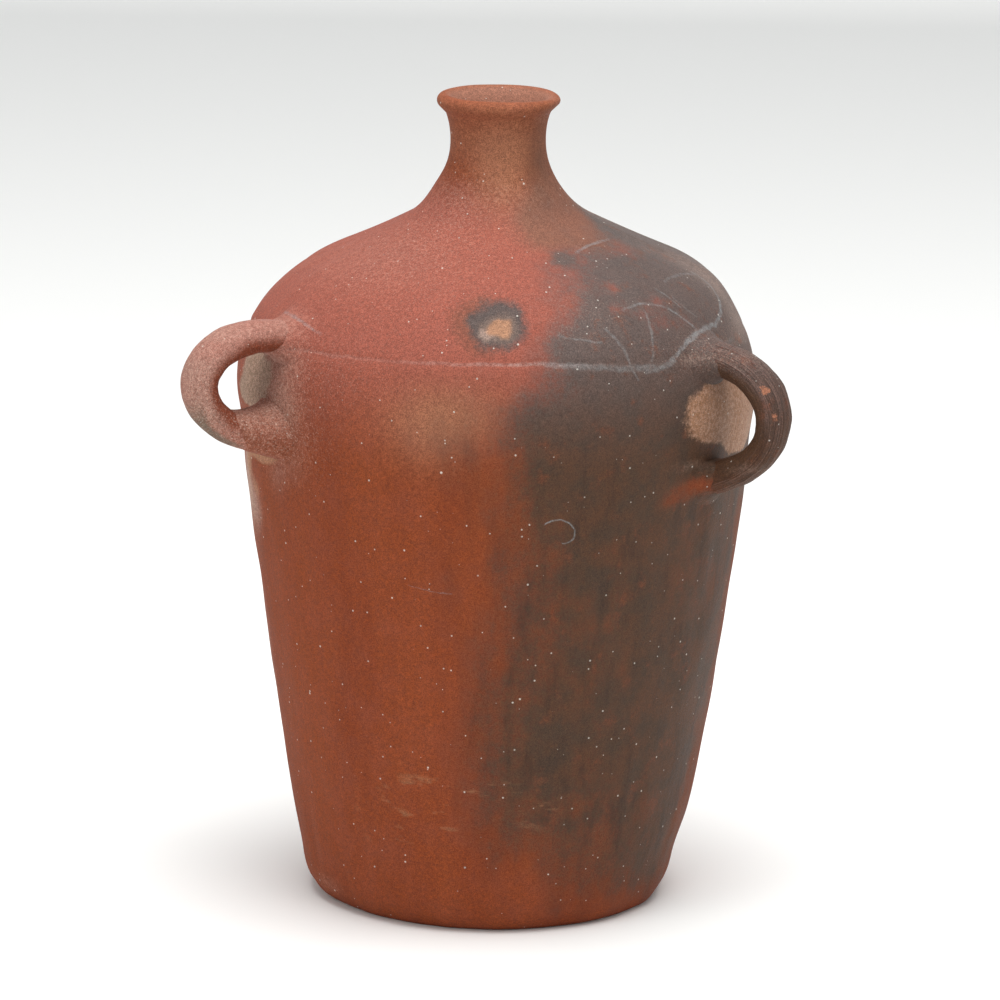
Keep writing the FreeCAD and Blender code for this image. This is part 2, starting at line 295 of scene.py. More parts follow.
# Where the fire and the soil have left their marks, with one painted shadow among the smoke.
# Each spot is (turn, height, spread in turn, spread in height, amount).
marks = {
    "smoke": [
        (48, 330, 34, 44, 0.75), (28, 320, 22, 50, 0.45), (62, 250, 30, 90, 0.62), (34, 230, 24, 90, 0.60),
        (20, 300, 14, 70, 0.35), (38, 120, 26, 70, 0.58), (70, 130, 26, 70, 0.50), (16, 130, 12, 60, 0.30),
        (50, 40, 30, 34, 0.34), (88, 330, 30, 60, 0.45), (60, 411, 22, 16, 0.80), (34, 396, 13, 22, 0.62),
        (44, 424, 12, 12, 0.45), (80, 398, 22, 26, 0.60), (26, 376, 12, 14, 0.40), (55, 376, 26, 16, 0.62),
        (8, 340, 9, 16, 0.20), (0, 250, 13, 110, 0.24), (3, 120, 13, 70, 0.22), (28, 428, 6, 4, 0.75),
        (20, 80, 16, 40, 0.25), (62, 90, 12, 50, 0.22), (44, 478, 24, 24, 0.25), (46, 452, 26, 10, 0.15),
        # of these, (56, 355, 9, 8, 0.45) is painted shadow under the right strap's upper root
        (94, 432, 22, 17, 0.85), (56, 355, 9, 8, 0.45), (20, 414, 7, 10, 0.22), (16, 388, 6, 11, 0.45),
        (27, 404, 8, 14, 0.35), (92, 415, 18, 14, 0.6), (70, 30, 26, 26, 0.3), (118, 280, 30, 110, 0.55),
        (122, 120, 22, 60, 0.40), (150, 400, 30, 26, 0.35), (172, 210, 26, 70, 0.50),
        (-150, 330, 20, 50, 0.40), (-128, 120, 18, 60, 0.30), (-160, 60, 30, 30, 0.3),
    ],
    "heat": [
        (2, 404, 20, 22, 0.75), (-12, 385, 12, 18, 0.55), (-14, 360, 9, 18, 0.45), (16, 414, 9, 14, 0.75),
        (-24, 350, 18, 30, 0.50), (-28, 300, 14, 60, 0.42), (-26, 200, 16, 120, 0.40),
        (10, 385, 6, 10, 0.5), (52, 290, 13, 9, 1.3), (44, 281, 8, 7, 0.9), (-6, 150, 8, 80, 0.15),
        (160, 300, 24, 80, 0.4), (-110, 200, 24, 90, 0.35), (0, 480, 90, 24, 0.35),
        (-178, 440, 60, 40, 0.3),
    ],
    "dust": [
        (-60, 285, 7, 20, 0.30), (-79, 276, 5, 30, 0.80), (-72, 258, 5, 18, 0.5), (-50, 300, 10, 26, 0.35),
        (-86, 170, 14, 140, 0.45), (-60, 420, 60, 34, 0.30), (0, 430, 70, 22, 0.12),
        (86, 402, 14, 26, 0.50), (-54, 338, 11, 22, 0.62), (84, 372, 14, 14, 0.35), (-58, 384, 9, 8, 0.35),
        (-60, 366, 16, 15, 0.50), (6, 356, 8, 8, 0.25), (-60, 15, 14, 12, 0.4), (180, 420, 60, 30, 0.3),
        (0, 462, 180, 16, 0.30), (62, 373, 13, 7, 0.25), (50, 369, 5, 6, 0.4), (50, 303, 11, 7, 0.40),
        (70, 428, 12, 7, 0.12), (30, 505, 30, 12, 0.2), (78, 510, 30, 12, 0.45), (-84, 500, 24, 20, 0.30),
    ],
    "bareLeft": [(-67, 351, 11.0, 16, 1.1), (-70, 333, 12.0, 9, 0.8)],
    "umber": [
        (62, 468, 34, 44, 0.85), (42, 448, 28, 13, 0.9), (24, 440, 14, 10, 0.5), (50, 436, 16, 8, 0.6),
        (96, 448, 26, 20, 0.7),
    ],
    "smear": [(-66, 300, 9.0, 8.5, 1.3), (-77, 286, 4.0, 12, 0.6), (-71, 271, 5.0, 12, 0.5)],
    "bareRight": [
        (70, 334, 21.0, 24, 1.4), (56, 333, 7.0, 17, 0.75), (75, 308, 12.0, 10, 0.8),
        (53, 305, 8.0, 9, -0.5), (106, 334, 14.0, 30, -1.2), (68.5, 322, 2.0, 16, -0.40),
    ],
    "coarse": [
        (-56, 320, 15, 26, 1.0), (-50, 360, 24, 22, 0.45), (-20, 430, 40, 40, 0.2), (-50, 440, 40, 40, 0.4),
        (56, 372, 14, 12, 0.6), (24, 398, 16, 20, 0.2),
    ],
    "strokes": [(-10, 92, 22, 22, 1.0), (6, 84, 16, 12, 0.6), (-30, 66, 20, 18, 0.4)],
    "tan": [
        (6, 474, 36, 30, 0.6), (0, 492, 900, 22, 0.45), (0, 515, 900, 8, 0.25), (-8, 345, 16, 22, 0.55),
        (-14, 325, 10, 26, 0.35), (180, 480, 60, 40, 0.4),
    ],
    "seamShow": [
        (7, 375, 12, 14, 0.8), (-14, 375, 12, 14, 0.35), (-44, 370, 16, 16, 0.35), (140, 372, 40, 16, 0.5),
        (-130, 372, 30, 16, 0.5),
    ],
    "rust": [
        (34, 402, 3.2, 4.0, 0.7), (41, 398, 3.0, 3.0, 0.5), (50, 404, 4.0, 4.0, 0.5),
        (38, 412, 1.6, 2.6, 0.5), (47, 390, 6.0, 8.0, 0.35), (22, 408, 5.0, 8.0, 0.3),
        (46, 425, 8.0, 4.0, 0.3), (52, 290, 12.0, 8.0, 1.3), (44, 281, 6.0, 4.5, 0.8),
        (68.5, 322, 2.2, 20, 0.8), (90, 150, 7.0, 90.0, 0.30), (30, 260, 5.0, 26.0, 0.30),
        (40, 230, 6.0, 30.0, 0.30), (24, 90, 6.0, 20.0, 0.2), (36, 165, 5.0, 30.0, 0.2),
    ],
}
# the shoulder band, laid pinker and greyer as dust and painted sky sheen: it rises in from 'from' to 'to' and
# fades out from neckFrom to neckTo; mouth is how far in the inside colour sets in
heightBands = {"from": 300.0, "to": 388.0, "neckFrom": 445.0, "neckTo": 476.0, "mouth": 5.0}


def easeBetween(value, start, stop):
    # smooth step 3t^2 - 2t^3, t going from 0 at the start to 1 at the stop
    t = np.clip((value - start) / (stop - start), 0.0, 1.0)
    return t * t * (3 - 2 * t)


def paint(piece, points, insideShare):
    # turn and height of every vertex, then the soft fields read there
    turn = np.degrees(np.arctan2(points[:, 0], -points[:, 1]))
    height = points[:, 2]
    for name, spots in marks.items():
        givePaint(piece, name, blobs(turn, height, spots))
    givePaint(piece, "seamGap", height - unevenness["seamHeight"] - seamShift(turn))
    givePaint(piece, "inside", insideShare)
    # how far up over the belly: the up-facing shoulder band that is laid pinker and greyer, dust and painted
    # sky sheen together
    rise = easeBetween(height, heightBands["from"], heightBands["to"])
    givePaint(piece, "upper", rise * (1.0 - easeBetween(height, heightBands["neckFrom"], heightBands["neckTo"])))


# The joints between the clay sections: height outside, and how many degrees the joint drops
# on its way in through the wall.
joints = {"foot": (9.0, -35.0), "seam": (375.0, 20.0), "neck": (442.5, 50.0), "lip": (506.0, 0.0)}
jointSearch = 3.0        # a joint comes out inside within this many wall thicknesses
jointRows = 4            # mesh rows through the wall
sections = {
    "footSlab": {"from": None, "to": "foot", "step": 2.6, "innerStep": 5.0,
                 "node": "floor_slab", "slot": "floor_clay"},
    "lowerWall": {"from": "foot", "to": "seam", "step": 2.8, "innerStep": 6.0,
                  "node": "lower_wall", "slot": "wall_clay"},
    "shoulderDome": {"from": "seam", "to": "neck", "step": 1.5, "innerStep": 5.0,
                     "node": "shoulder_dome", "slot": "shoulder_clay"},
    "neckTube": {"from": "neck", "to": "lip", "step": 1.3, "innerStep": 2.5,
                 "node": "neck", "slot": "neck_clay"},
    "lipRing": {"from": "lip", "to": None, "step": 0.8, "innerStep": 1.0,
                "node": "lip_ring", "slot": "lip_clay"},
}


def jointReach(name):
    # length along the outside and along the inside where a joint comes out
    height, drop = joints[name]
    outerReach = np.interp(height, outside[:, 1], reachOf(outside))
    spot, way = sample(outside, outerReach), polar(1.0, 180.0 + drop)
    gap = inside - spot
    side = np.abs(gap[:, 0] * way[1] - gap[:, 1] * way[0])
    side[np.linalg.norm(gap, axis=1) > jointSearch * jar["wall"]] = np.inf
    return float(outerReach), float(reachOf(inside)[np.argmin(side)])


def outerGrid(reach):
    # the outside at lengths along it, for every column: sample + push * normal
    seamAt = jointReach("seam")[0]
    slide = np.exp(-((reach - seamAt) / unevenness["seamSpread"]) ** 2)[:, None] * seamShift(turns)[None, :]
    where = reach[:, None] + slide
    base = sample(outside, where)
    along = sample(outside, where + 0.6) - sample(outside, where - 0.6)
    length = np.maximum(np.linalg.norm(along, axis=-1, keepdims=True), 1e-9)
    normal = np.stack([along[..., 1], -along[..., 0]], -1) / length
    # the flat of the foot and the poles stay true
    ease = np.clip((reach - jar["footRadius"]) / unevenness["footEase"], 0.0, 1.0)[:, None]
    push = pushOut(turns[None, :], base[..., 1]) * ease
    return base + normal * push[..., None]


def innerGrid(reach):
    # the inside at lengths along it; near the lip it moves with the outside
    base = np.broadcast_to(sample(inside, reach)[:, None, :], (len(reach), columns, 2)).copy()
    share = easeBetween(reach, unevenness["mouthEase"], 0.0)
    push = pushOut(turns, jar["bellyHeight"] + jar["shoulderRise"] + jar["lipRise"])[None, :] * share[:, None]
    lean = np.clip(1.0 - reach / unevenness["rimEase"], 0.0, 1.0)[:, None]
    base[..., 0] += push * (1.0 - lean)
    base[..., 1] += push * lean
    return base


def evenSteps(start, end, step):
    # even lengths from start to end, about one step apart
    return np.linspace(start, end, max(3, int((end - start) / step) + 1))


def buildSection(name, s):
    # profile loop: outside slice, joint, inside slice, joint; the loop is carried round the axis
    outerStart, innerEnd = jointReach(s["from"]) if s["from"] else (0.0, reachOf(inside)[-1])
    outerEnd, innerStart = jointReach(s["to"]) if s["to"] else (reachOf(outside)[-1], 0.0)
    outerReach = evenSteps(outerStart, outerEnd, s["step"])
    innerReach = evenSteps(innerStart, innerEnd, s["innerStep"])
    out, back = outerGrid(outerReach), innerGrid(innerReach)
    through = np.linspace(0.0, 1.0, jointRows + 2)[1:-1, None, None]
    loop, hidden = [out], [np.zeros(len(out))]
    if s["to"]:
        loop.append(out[-1] * (1 - through) + back[0] * through)
        hidden.append(np.linspace(0, 1, jointRows))
        loop.append(back)
        hidden.append(np.ones(len(back)))
    else:
        loop.append(back[1:])
        hidden.append(np.clip(innerReach[1:] / heightBands["mouth"], 0, 1))
    if s["from"]:
        loop.append(back[-1] * (1 - through) + out[0] * through)
        hidden.append(np.linspace(1, 0, jointRows))
    loop, hidden = np.concatenate(loop), np.concatenate(hidden)
    if not s["from"]:        # the slab's two ends meet the axis: their rows become the poles
        loop, hidden = loop[1:-1], hidden[1:-1]
    grid = placed(loop[..., 0], turns[None, :], loop[..., 1])
    piece, points = solidMesh(name, grid, closeRows=bool(s["from"]), capEnds=not s["from"])
    share = np.repeat(hidden, columns)
    paint(piece, points, np.concatenate([share, [0.0, 1.0]]) if not s["from"] else share)
    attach(piece, "root")
    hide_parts(s["node"])
    return piece


jarPieces = {name: buildSection(name, s) for name, s in sections.items()}
print("jar sections", {name: len(piece.data.polygons) for name, piece in jarPieces.items()})

straps = {
    "left": {
        "turn": -58.0, "high": 376.5, "low": 314.0, "reach": 54.8, "lift": 5.5, "arch": 6.0, "sag": 0.0,
        "square": 1.12, "thick": 10.2, "width": 14.8, "corner": 2.15,
        "ridges": 5, "ridgeDepth": 0.15, "lump": 0.35, "seed": 21,
        "swell": [(0.04, 0.08, 0.3), (0.30, 0.12, 0.3), (0.55, 0.16, 0.1), (0.93, 0.09, 0.2)],
    },
    "right": {
        "turn": 58.0, "high": 367.5, "low": 290.0, "reach": 45.4, "lift": 5.5, "arch": 0.0, "sag": 8.0,
        "square": 1.0, "thick": 10.1, "width": 13.0, "corner": 2.2,
        "ridges": 13, "ridgeDepth": 0.22, "lump": 0.35, "seed": 22,
        "swell": [(0.05, 0.08, 0.8), (0.35, 0.12, 0.3), (0.65, 0.14, -0.8), (0.94, 0.07, 0.0)],
    },
}
strapMesh = {
    "rows": 170, "sides": 84, "startDepth": 8.0, "endDepth": 5.0, "slope": 2.5,
    "drift": 2.2, "weave": 1.3, "lumps": (9, 16), "fineLumps": (22, 44), "fineShare": 0.35,
}
turnIn = jar["bellyRadius"] - 5.0        # the loop's curve starts this far out
quarterShare = 4.0 / 3.0 * (math.sqrt(2.0) - 1.0)


def strapPath(s):
    # out from inside the wall, round a quarter to the tip, round a quarter back, in again
    high, low = np.array([turnIn, s["high"]]), np.array([turnIn, s["low"]])
    tip = np.array([turnIn + s["reach"], (s["high"] + s["low"]) / 2.0 + s["lift"]])
    out = np.array([s["reach"] * quarterShare, 0.0])
    up = np.array([0.0, (s["high"] - tip[1]) * quarterShare])
    down = np.array([0.0, (tip[1] - s["low"]) * quarterShare])
    arch, sag = np.array([0.0, s["arch"]]), np.array([0.0, s["sag"]])
    start = [wallRadius(s["turn"], s["high"]) - strapMesh["startDepth"], s["high"]]
    finish = [wallRadius(s["turn"], s["low"]) - strapMesh["endDepth"], s["low"]]
    upper = cubicRun(high, high + out * s["square"] + arch, tip + up * s["square"], tip)
    lower = cubicRun(tip, tip - down, low + out + sag, low)
    return joined([np.array([start]), upper, lower, np.array([finish])])


def handleFrame(turn, outward, sideways, height):
    # a point given outward from the axis and sideways from the handle's plane, in x, y, z
    angle = math.radians(turn)
    return np.stack([outward * math.sin(angle) + sideways * math.cos(angle),
                     -outward * math.cos(angle) + sideways * math.sin(angle), height], -1)


def oval(v, corner):
    # cos and sin to the power 2/corner with their signs kept: squarer as the corner grows
    return [np.sign(part) * np.abs(part) ** (2.0 / corner) for part in (np.cos(v), np.sin(v))]


def buildStrap(side, s):
    # an oval carried along the path: half sizes times the oval, plus swellings, lumps and combed ridges
    m = strapMesh
    path = strapPath(s)
    share = np.linspace(0.0, 1.0, m["rows"])
    reach = share * reachOf(path)[-1]
    centre = sample(path, reach)
    along = sample(path, reach + m["slope"]) - sample(path, reach - m["slope"])
    along /= np.linalg.norm(along, axis=1, keepdims=True)
    outward = np.stack([-along[:, 1], along[:, 0]], -1)      # away from the loop's middle
    v = np.linspace(0.0, 2.0 * math.pi, m["sides"], endpoint=False)[None, :]
    u = share[:, None]
    thick, wide = oval(v, s["corner"])
    swell = sum(amount * np.exp(-((u - middle) / spread) ** 2) for middle, spread, amount in s["swell"])
    drift = m["drift"] * softNoise(u * 3.0, u * 0.0, 7, s["seed"])
    ridge = np.sin(s["ridges"] * v + drift + m["weave"] * np.sin(2 * v)) * np.cos(v * 0.5) ** 2
    lump = 0.0
    for number, ((around, down), depth) in enumerate(((m["lumps"], 1.0), (m["fineLumps"], m["fineShare"]))):
        lump = lump + depth * softNoise(v / (2 * math.pi) * around, u * down, around, s["seed"] + 1 + number)
    grow = swell + s["ridgeDepth"] * ridge + s["lump"] * lump
    off = thick * (s["thick"] + grow)
    grid = handleFrame(s["turn"], centre[:, :1] + outward[:, :1] * off, wide * (s["width"] + grow),
                       centre[:, 1:] + outward[:, 1:] * off)
    piece, points = solidMesh(side + "Strap", grid, closeRows=False, capEnds=True)
    paint(piece, points, np.zeros(len(points)))
    for name, field, ends in (("around", np.cos(v), [0.0, 0.0]), ("beside", np.sin(v), [0.0, 0.0]),
                              ("alongStrap", u, [0.0, 1.0])):
        givePaint(piece, name, np.concatenate([(field + 0.0 * off).ravel(), ends]))
    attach(piece, "root")
    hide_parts(side + "_handle")
    return piece


strapPieces = {side: buildStrap(side, s) for side, s in straps.items()}
print("straps", {side: len(piece.data.polygons) for side, piece in strapPieces.items()})

# Luting clay round the strap ends: how far it climbs the strap and by which powers it flares and
# thins, then how far it spreads on the wall to the front, up, back and down.
roots = {
    "leftUpperRoot": {
        "side": "left", "end": "high", "node": "left_upper_root", "climb": 12.5, "flare": 1.6, "thin": 1.7,
        "upLean": 0.0, "front": 20.0, "up": 10.5, "back": 12.0, "down": 9.0, "lump": 0.5, "seed": 31},
    "leftLowerRoot": {       # a full web under the loop
        "side": "left", "end": "low", "node": "left_lower_root", "climb": 33.0, "flare": 1.0, "thin": 1.2,
        "upLean": 0.12, "front": 12.0, "up": 15.0, "back": 9.0, "down": 6.0, "lump": 0.9, "seed": 32},
    "rightUpperRoot": {
        "side": "right", "end": "high", "node": "right_upper_root", "climb": 15.0, "flare": 1.6, "thin": 1.7,
        "upLean": 0.0, "front": 13.0, "up": 11.0, "back": 10.0, "down": 8.0, "lump": 0.6, "seed": 33},
    "rightLowerRoot": {
        "side": "right", "end": "low", "node": "right_lower_root", "climb": 11.0, "flare": 1.6, "thin": 1.7,
        "upLean": 0.0, "front": 16.0, "up": 3.0, "back": 9.0, "down": 10.0, "lump": 0.7, "seed": 34},
}
cuff = {
    "sides": 132, "rows": 26, "backRows": 12, "hollow": 0.62,
    "spreadNoise": 0.22, "climbNoise": 0.15, "lumpEnd": 1.15,
    "rimBury": 1.2, "rimRise": 1.7, "rimRun": 5.0,           # the rim starts inside the strap
    "skirtSink": 1.2, "backSpread": 0.8, "backBury": 2.5,    # the rest lies in the strap and the wall
    "backStop": 2.0, "backThin": 1.7, "backSink": 3.2,
}


def buildRoot(name, r):
    # a flared cuff: spread grows from the strap to the wall while the height over the wall falls
    # along a hollow curve
    s, c = straps[r["side"]], cuff
    centreHeight = s[r["end"]]
    v = np.linspace(0.0, 2.0 * math.pi, c["sides"], endpoint=False)[None, :]
    t = np.linspace(0.0, 1.0, c["rows"])[:, None]
    backT = np.linspace(1.0, 0.0, c["backRows"])[:, None]
    wave = v / (2 * math.pi)
    frontSign = -1.0 if s["turn"] > 0 else 1.0      # sideways direction that looks to the jar's front
    cosine, sine = np.cos(v) * frontSign, np.sin(v)
    spread = np.where(cosine > 0, r["front"], r["back"]) * cosine ** 2
    spread = spread + np.where(sine > 0, r["up"], r["down"]) * sine ** 2
    spread = spread * (1.0 + c["spreadNoise"] * softNoise(wave * 9, v * 0.0, 9, r["seed"]))
    grow = spread * (1.0 - (1.0 - t ** r["flare"]) ** c["hollow"])
    climb = r["climb"] * (1.0 - t) ** r["thin"] * (1.0 + r["upLean"] * sine)
    climb = climb * (1.0 + c["climbNoise"] * softNoise(wave * 6, v * 0.0, 6, r["seed"] + 1))
    lump = r["lump"] * softNoise(wave * 14, t * 5.0, 14, r["seed"] + 2)
    lump = lump * np.sin(math.pi * np.clip(t * c["lumpEnd"], 0, 1))
    rim = c["rimRise"] * np.minimum(1.0, t * c["rimRun"]) - c["rimBury"]
    backOutline = spread * backT ** 2 * c["backSpread"] - c["backBury"]
    backLift = (r["climb"] - c["backStop"]) * (1 - backT) ** c["backThin"] - c["backSink"]
    outline = np.concatenate([grow + rim, backOutline])
    lift = np.concatenate([climb + lump - c["skirtSink"] * t ** 6, backLift + 0.0 * v])
    wide, tall = oval(v, s["corner"])
    sideways = wide * (s["width"] + outline)
    path = strapPath(s)
    half = len(path) // 2
    arm = path[:half] if r["end"] == "high" else path[half:][::-1]
    wallHere = wallRadius(s["turn"], centreHeight)
    middle = np.interp(wallHere + lift, arm[:, 0], arm[:, 1])
    height = middle + tall * (s["thick"] + outline)
    turn = s["turn"] + np.degrees(np.arcsin(np.clip(sideways / wallHere, -1, 1)))
    outward = np.sqrt(np.maximum(wallRadius(turn, height) ** 2 - sideways ** 2, 0.0)) + lift
    piece, points = solidMesh(name, handleFrame(s["turn"], outward, sideways, height))
    paint(piece, points, np.zeros(len(points)))
    givePaint(piece, "rootEdge", np.concatenate([t + 0 * v, backT + 0 * v]).ravel())
    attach(piece, "root")
    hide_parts(r["node"])
    return piece


rootPieces = {name: buildRoot(name, r) for name, r in roots.items()}
print("roots", {name: len(piece.data.polygons) for name, piece in rootPieces.items()})


def tone(red, green, blue):
    # a display colour, 0 to 255, as the linear colour the shader wants
    share = np.array([red, green, blue]) / 255.0
    linear = np.where(share <= 0.04045, share / 12.92, ((share + 0.055) / 1.055) ** 2.4)
    return (*[float(value) for value in linear], 1.0)


clay = {
    "red": tone(138, 64, 28), "deepRed": tone(122, 50, 20), "orange": tone(152, 80, 42),
    "rosy": tone(158, 88, 74), "salmon": tone(176, 98, 78), "strapRose": tone(170, 98, 76),
    "tan": tone(160, 104, 76), "umber": tone(124, 86, 68), "ember": tone(112, 60, 34),
    "smokeBrown": tone(82, 54, 34), "smokeGrey": tone(66, 51, 37), "soot": tone(48, 35, 25),
    "greyDustAndSheen": tone(91, 83, 80), "coolGrey": tone(84, 76, 73), "ringGrey": tone(128, 106, 94),
    "olive": tone(98, 70, 52), "peach": tone(172, 126, 96), "chip": tone(186, 122, 92),
    "bareLeft": tone(152, 126, 104), "bareRight": tone(164, 116, 82), "inside": tone(156, 106, 86),
    "dust": tone(190, 160, 144), "haze": tone(150, 118, 108), "mossGrey": tone(96, 92, 78),
    "chalk": tone(138, 140, 140), "seam": tone(176, 150, 142), "speck": tone(232, 224, 212),
    "pit": (0.02, 0.012, 0.01, 1.0),
}
# Noises in the clay: cells in a metre, detail and roughness. The upright ones are drawn out in height.
noises = {
    "broad": (26.0, 5.0, 0.6), "streak": (95.0, 5.0, 0.62), "patchy": (48.0, 6.0, 0.62),
    "freckle": (110.0, 5.0, 0.62), "fine": (420.0, 4.0, 0.7), "grain": (1500.0, 2.0, 0.6),
    "glow": (70.0, 6.0, 0.68), "pepper": (900.0, 2.0, 0.6),
}
uprightNoises, uprightShare = ("broad", "streak"), 0.17
brushNoise, combNoise, frayNoise = (150.0, 3.0, 0.6), (1.0, 3.0, 0.6), (260.0, 2.0, 0.55)
# How far each noise pushes the edge of a mark
frays = {
    "smoke": {"streak": 0.42, "patchy": 0.5, "fine": 0.8, "grain": 0.5}, "heat": {"patchy": 0.5},
    "tan": {"fine": 0.5}, "umber": {"patchy": 0.6}, "dust": {"fine": 0.55},
    "bare": {"patchy": 0.7, "fine": 0.3}, "smear": {"patchy": 0.6}, "seam": {"patchy": 5.0},
    "under": {"patchy": 0.8}, "moss": {"patchy": 0.6}, "fireSpot": {"fine": 0.010}, "gloss": {"fine": 0.25},
}
# Where each layer starts and ends on its field, then its strength at the two ends (0 and 1 when left out)
ramps = {
    "smoked": (0.08, 0.88), "heat": (0.05, 0.85), "deepRed": (0.35, 0.7, 0.0, 0.55), "tan": (0.0, 0.9),
    "rosy": (0.35, 0.75, 0.0, 0.14), "umber": (0.1, 1.0, 0.0, 0.8), "smokeGrey": (0.38, 0.66),
    "soot": (0.5, 0.72, 0.0, 0.65), "ember": (0.54, 0.70, 0.0, 0.55), "dust": (0.2, 1.15, 0.0, 0.85),
    "mottle": (0.35, 0.7, 0.0, 0.5), "bare": (0.46, 0.70, 0.0), "smear": (0.38, 0.62, 0.0, 0.75),
    "brush": (0.54, 0.70), "strokes": (0.1, 0.9),
    "seam": (0.2, 1.6, 0.6, 0.0), "seamWorn": (0.36, 0.6, 0.3, 1.0),
    "combPale": (0.50, 0.66, 0.0), "combDark": (0.34, 0.50), "under": (-0.35, 0.30, 0.9, 0.0),
    "mossEnds": (0.05, 0.16, 1.0, 0.0), "moss": (0.45, 0.8), "tipGlow": (0.84, 0.98, 0.0),
    "pepperPale": (0.54, 0.66, 0.0, 0.55), "pepperDark": (0.36, 0.46, 0.55, 0.0),
    "pit": (0.3, 0.7, 0.30, 0.0),
    "shade": (0.28, 0.72, 0.62, 1.36), "gloss": (0.0, 1.0, 0.80, 0.58), "veinWorn": (0.30, 0.62, 0.35, 1.0),
}
strength = {
    "rosy": 0.8, "greyDustAndSheen": 0.75, "strokes": 0.55, "speck": 0.65, "rust": 0.55, "chip": 0.85,
    "combPale": 0.32, "combDark": 0.40,
}
relief = {"fine": 0.7, "grain": 0.35, "streak": 0.8, "sand": 0.5, "comb": 1.6, "depth": 0.0012, "shine": 0.22}
# Sand: cells in a metre, size in cells, share of the cells with a grain
sandGrains = [(210.0, 0.12, 0.24), (64.0, 0.055, 0.10), (130.0, 0.085, 0.22)]
stroke = {"tilt": -24.0, "squeeze": (0.18, 1.0, 1.0)}
combCells = {"around": 13.0, "beside": 13.0, "alongStrap": 4.0}
# How wavy an edge is made: cells in a metre, then how far in metres
warps = {"fireSpot": (62.0, 0.016), "veins": (120.0, 0.0035), "chips": (300.0, 0.009)}
# The fire spot from its halo to its core: (turn, height), full out to, gone at (millimetres),
# strength, colour, frayed
fireSpot = [
    ((-2.2, 397.4), 10.3, 27.81, 0.5, "olive", True), ((1.4, 397.4), 12.77, 22.25, 0.95, "coolGrey", True),
    ((1.8, 395.0), 7.42, 14.01, 0.6, "ringGrey", False), ((-0.8, 392.0), 2.25, 7.125, 0.6, "dust", False),
    ((1.8, 395.0), 4.875, 8.625, 0.9, "peach", False),
]

# Pale lines left by roots and salts: three places (turn, height) on each, half width, strength
veins = [
    ((36, 429.3), (50, 432.0), (66, 432.3), 1.3, 0.45),
    ((-64.9, 387.7), (-55, 386.0), (-45.7, 382.5), 1.2, 0.35),
    ((12, 374.9), (26, 371.6), (40, 368.4), 2.3, 0.36),
    ((36, 367.5), (42, 368.0), (46, 371.5), 2.0, 0.45),
    ((44, 369.5), (48.3, 375.6), (53, 381.0), 1.6, 0.65),
    ((51, 379.2), (57, 382.8), (66, 384.2), 1.9, 0.65),
    ((65, 383.6), (72, 387.0), (78, 394.0), 1.8, 0.60),
    ((77, 392.0), (80, 401.0), (80, 410.0), 1.5, 0.5),
    ((80, 408.0), (70, 411.5), (60, 411.0), 1.3, 0.25),
    ((36, 401.5), (46, 402.5), (52, 397.9), 1.1, 0.42),
    ((51.6, 398.5), (54.6, 391.0), (57.0, 383.5), 1.1, 0.45),
    ((56.0, 404.0), (57.0, 398.0), (60.0, 391.0), 0.9, 0.22),
    ((42.7, 400.0), (41.3, 386.0), (38.6, 372.0), 1.1, 0.33),
    ((28.5, 393.0), (31.0, 385.0), (32.5, 374.0), 1.1, 0.33),
    ((32.5, 374.0), (33.0, 368.0), (34.0, 362.0), 1.0, 0.3),
    ((62.0, 382.0), (66.0, 374.0), (72.0, 372.0), 1.4, 0.2),
    ((52.5, 409.0), (54.5, 403.0), (56.0, 397.0), 0.9, 0.3),
    ((16, 391.0), (21, 388.0), (27, 386.0), 0.9, 0.3),
    ((12.3, 275.0), (16.0, 277.5), (19.2, 271.0), 0.5, 0.7),
    ((19.2, 271.5), (19.0, 265.0), (16.6, 262.0), 0.5, 0.6),
    ((-19, 233.0), (-14.0, 230.5), (-8.5, 229.5), 0.35, 0.3),
]


def node(tree, kind, **settings):
    made = tree.nodes.new("ShaderNode" + kind)
    for key, value in settings.items():
        setattr(made, key, value)
    return made


def feed(tree, source, socket):
    # a number or colour is set on the socket, anything else is linked to it
    if isinstance(source, bpy.types.NodeSocket):
        tree.links.new(source, socket)
    else:
        socket.default_value = source


def sums(tree, kind, *terms):
    made = node(tree, "Math", operation=kind)
    for term, socket in zip(terms, made.inputs):
        feed(tree, term, socket)
    return made.outputs[0]


def plus(tree, a, b):
    return sums(tree, "ADD", a, b)


def times(tree, a, b):
    return sums(tree, "MULTIPLY", a, b)


def frayed(tree, value, noise, amounts):
    # value + sum of amount * (noise - a half)
    for kind, amount in amounts.items():
        value = plus(tree, value, times(tree, sums(tree, "SUBTRACT", noise[kind], 0.5), amount))
    return value


def rampTo(tree, value, low, high, start=0.0, stop=1.0):
    # smooth step of a value between two limits
    made = node(tree, "MapRange", interpolation_type="SMOOTHSTEP")
    for source, socket in zip((value, low, high, start, stop), made.inputs):
        feed(tree, source, socket)
    return made.outputs[0]


def over(tree, amount, under, top, kind="MIX"):
    # one colour laid over another
    made = node(tree, "Mix", data_type="RGBA", blend_type=kind)
    feed(tree, amount, made.inputs[0])
    feed(tree, under, made.inputs[6])
    feed(tree, top, made.inputs[7])
    return made.outputs[2]


def layer(tree, color, field, name, top):
    # a colour laid over, as strongly as the layer's ramp says for this field
    return over(tree, rampTo(tree, field, *ramps[name]), color, top)


def cloud(tree, place, scale, detail, rough):
    made = node(tree, "TexNoise")
    feed(tree, place, made.inputs["Vector"])
    made.inputs["Scale"].default_value = scale
    made.inputs["Detail"].default_value = detail
    made.inputs["Roughness"].default_value = rough
    return made.outputs["Fac"]


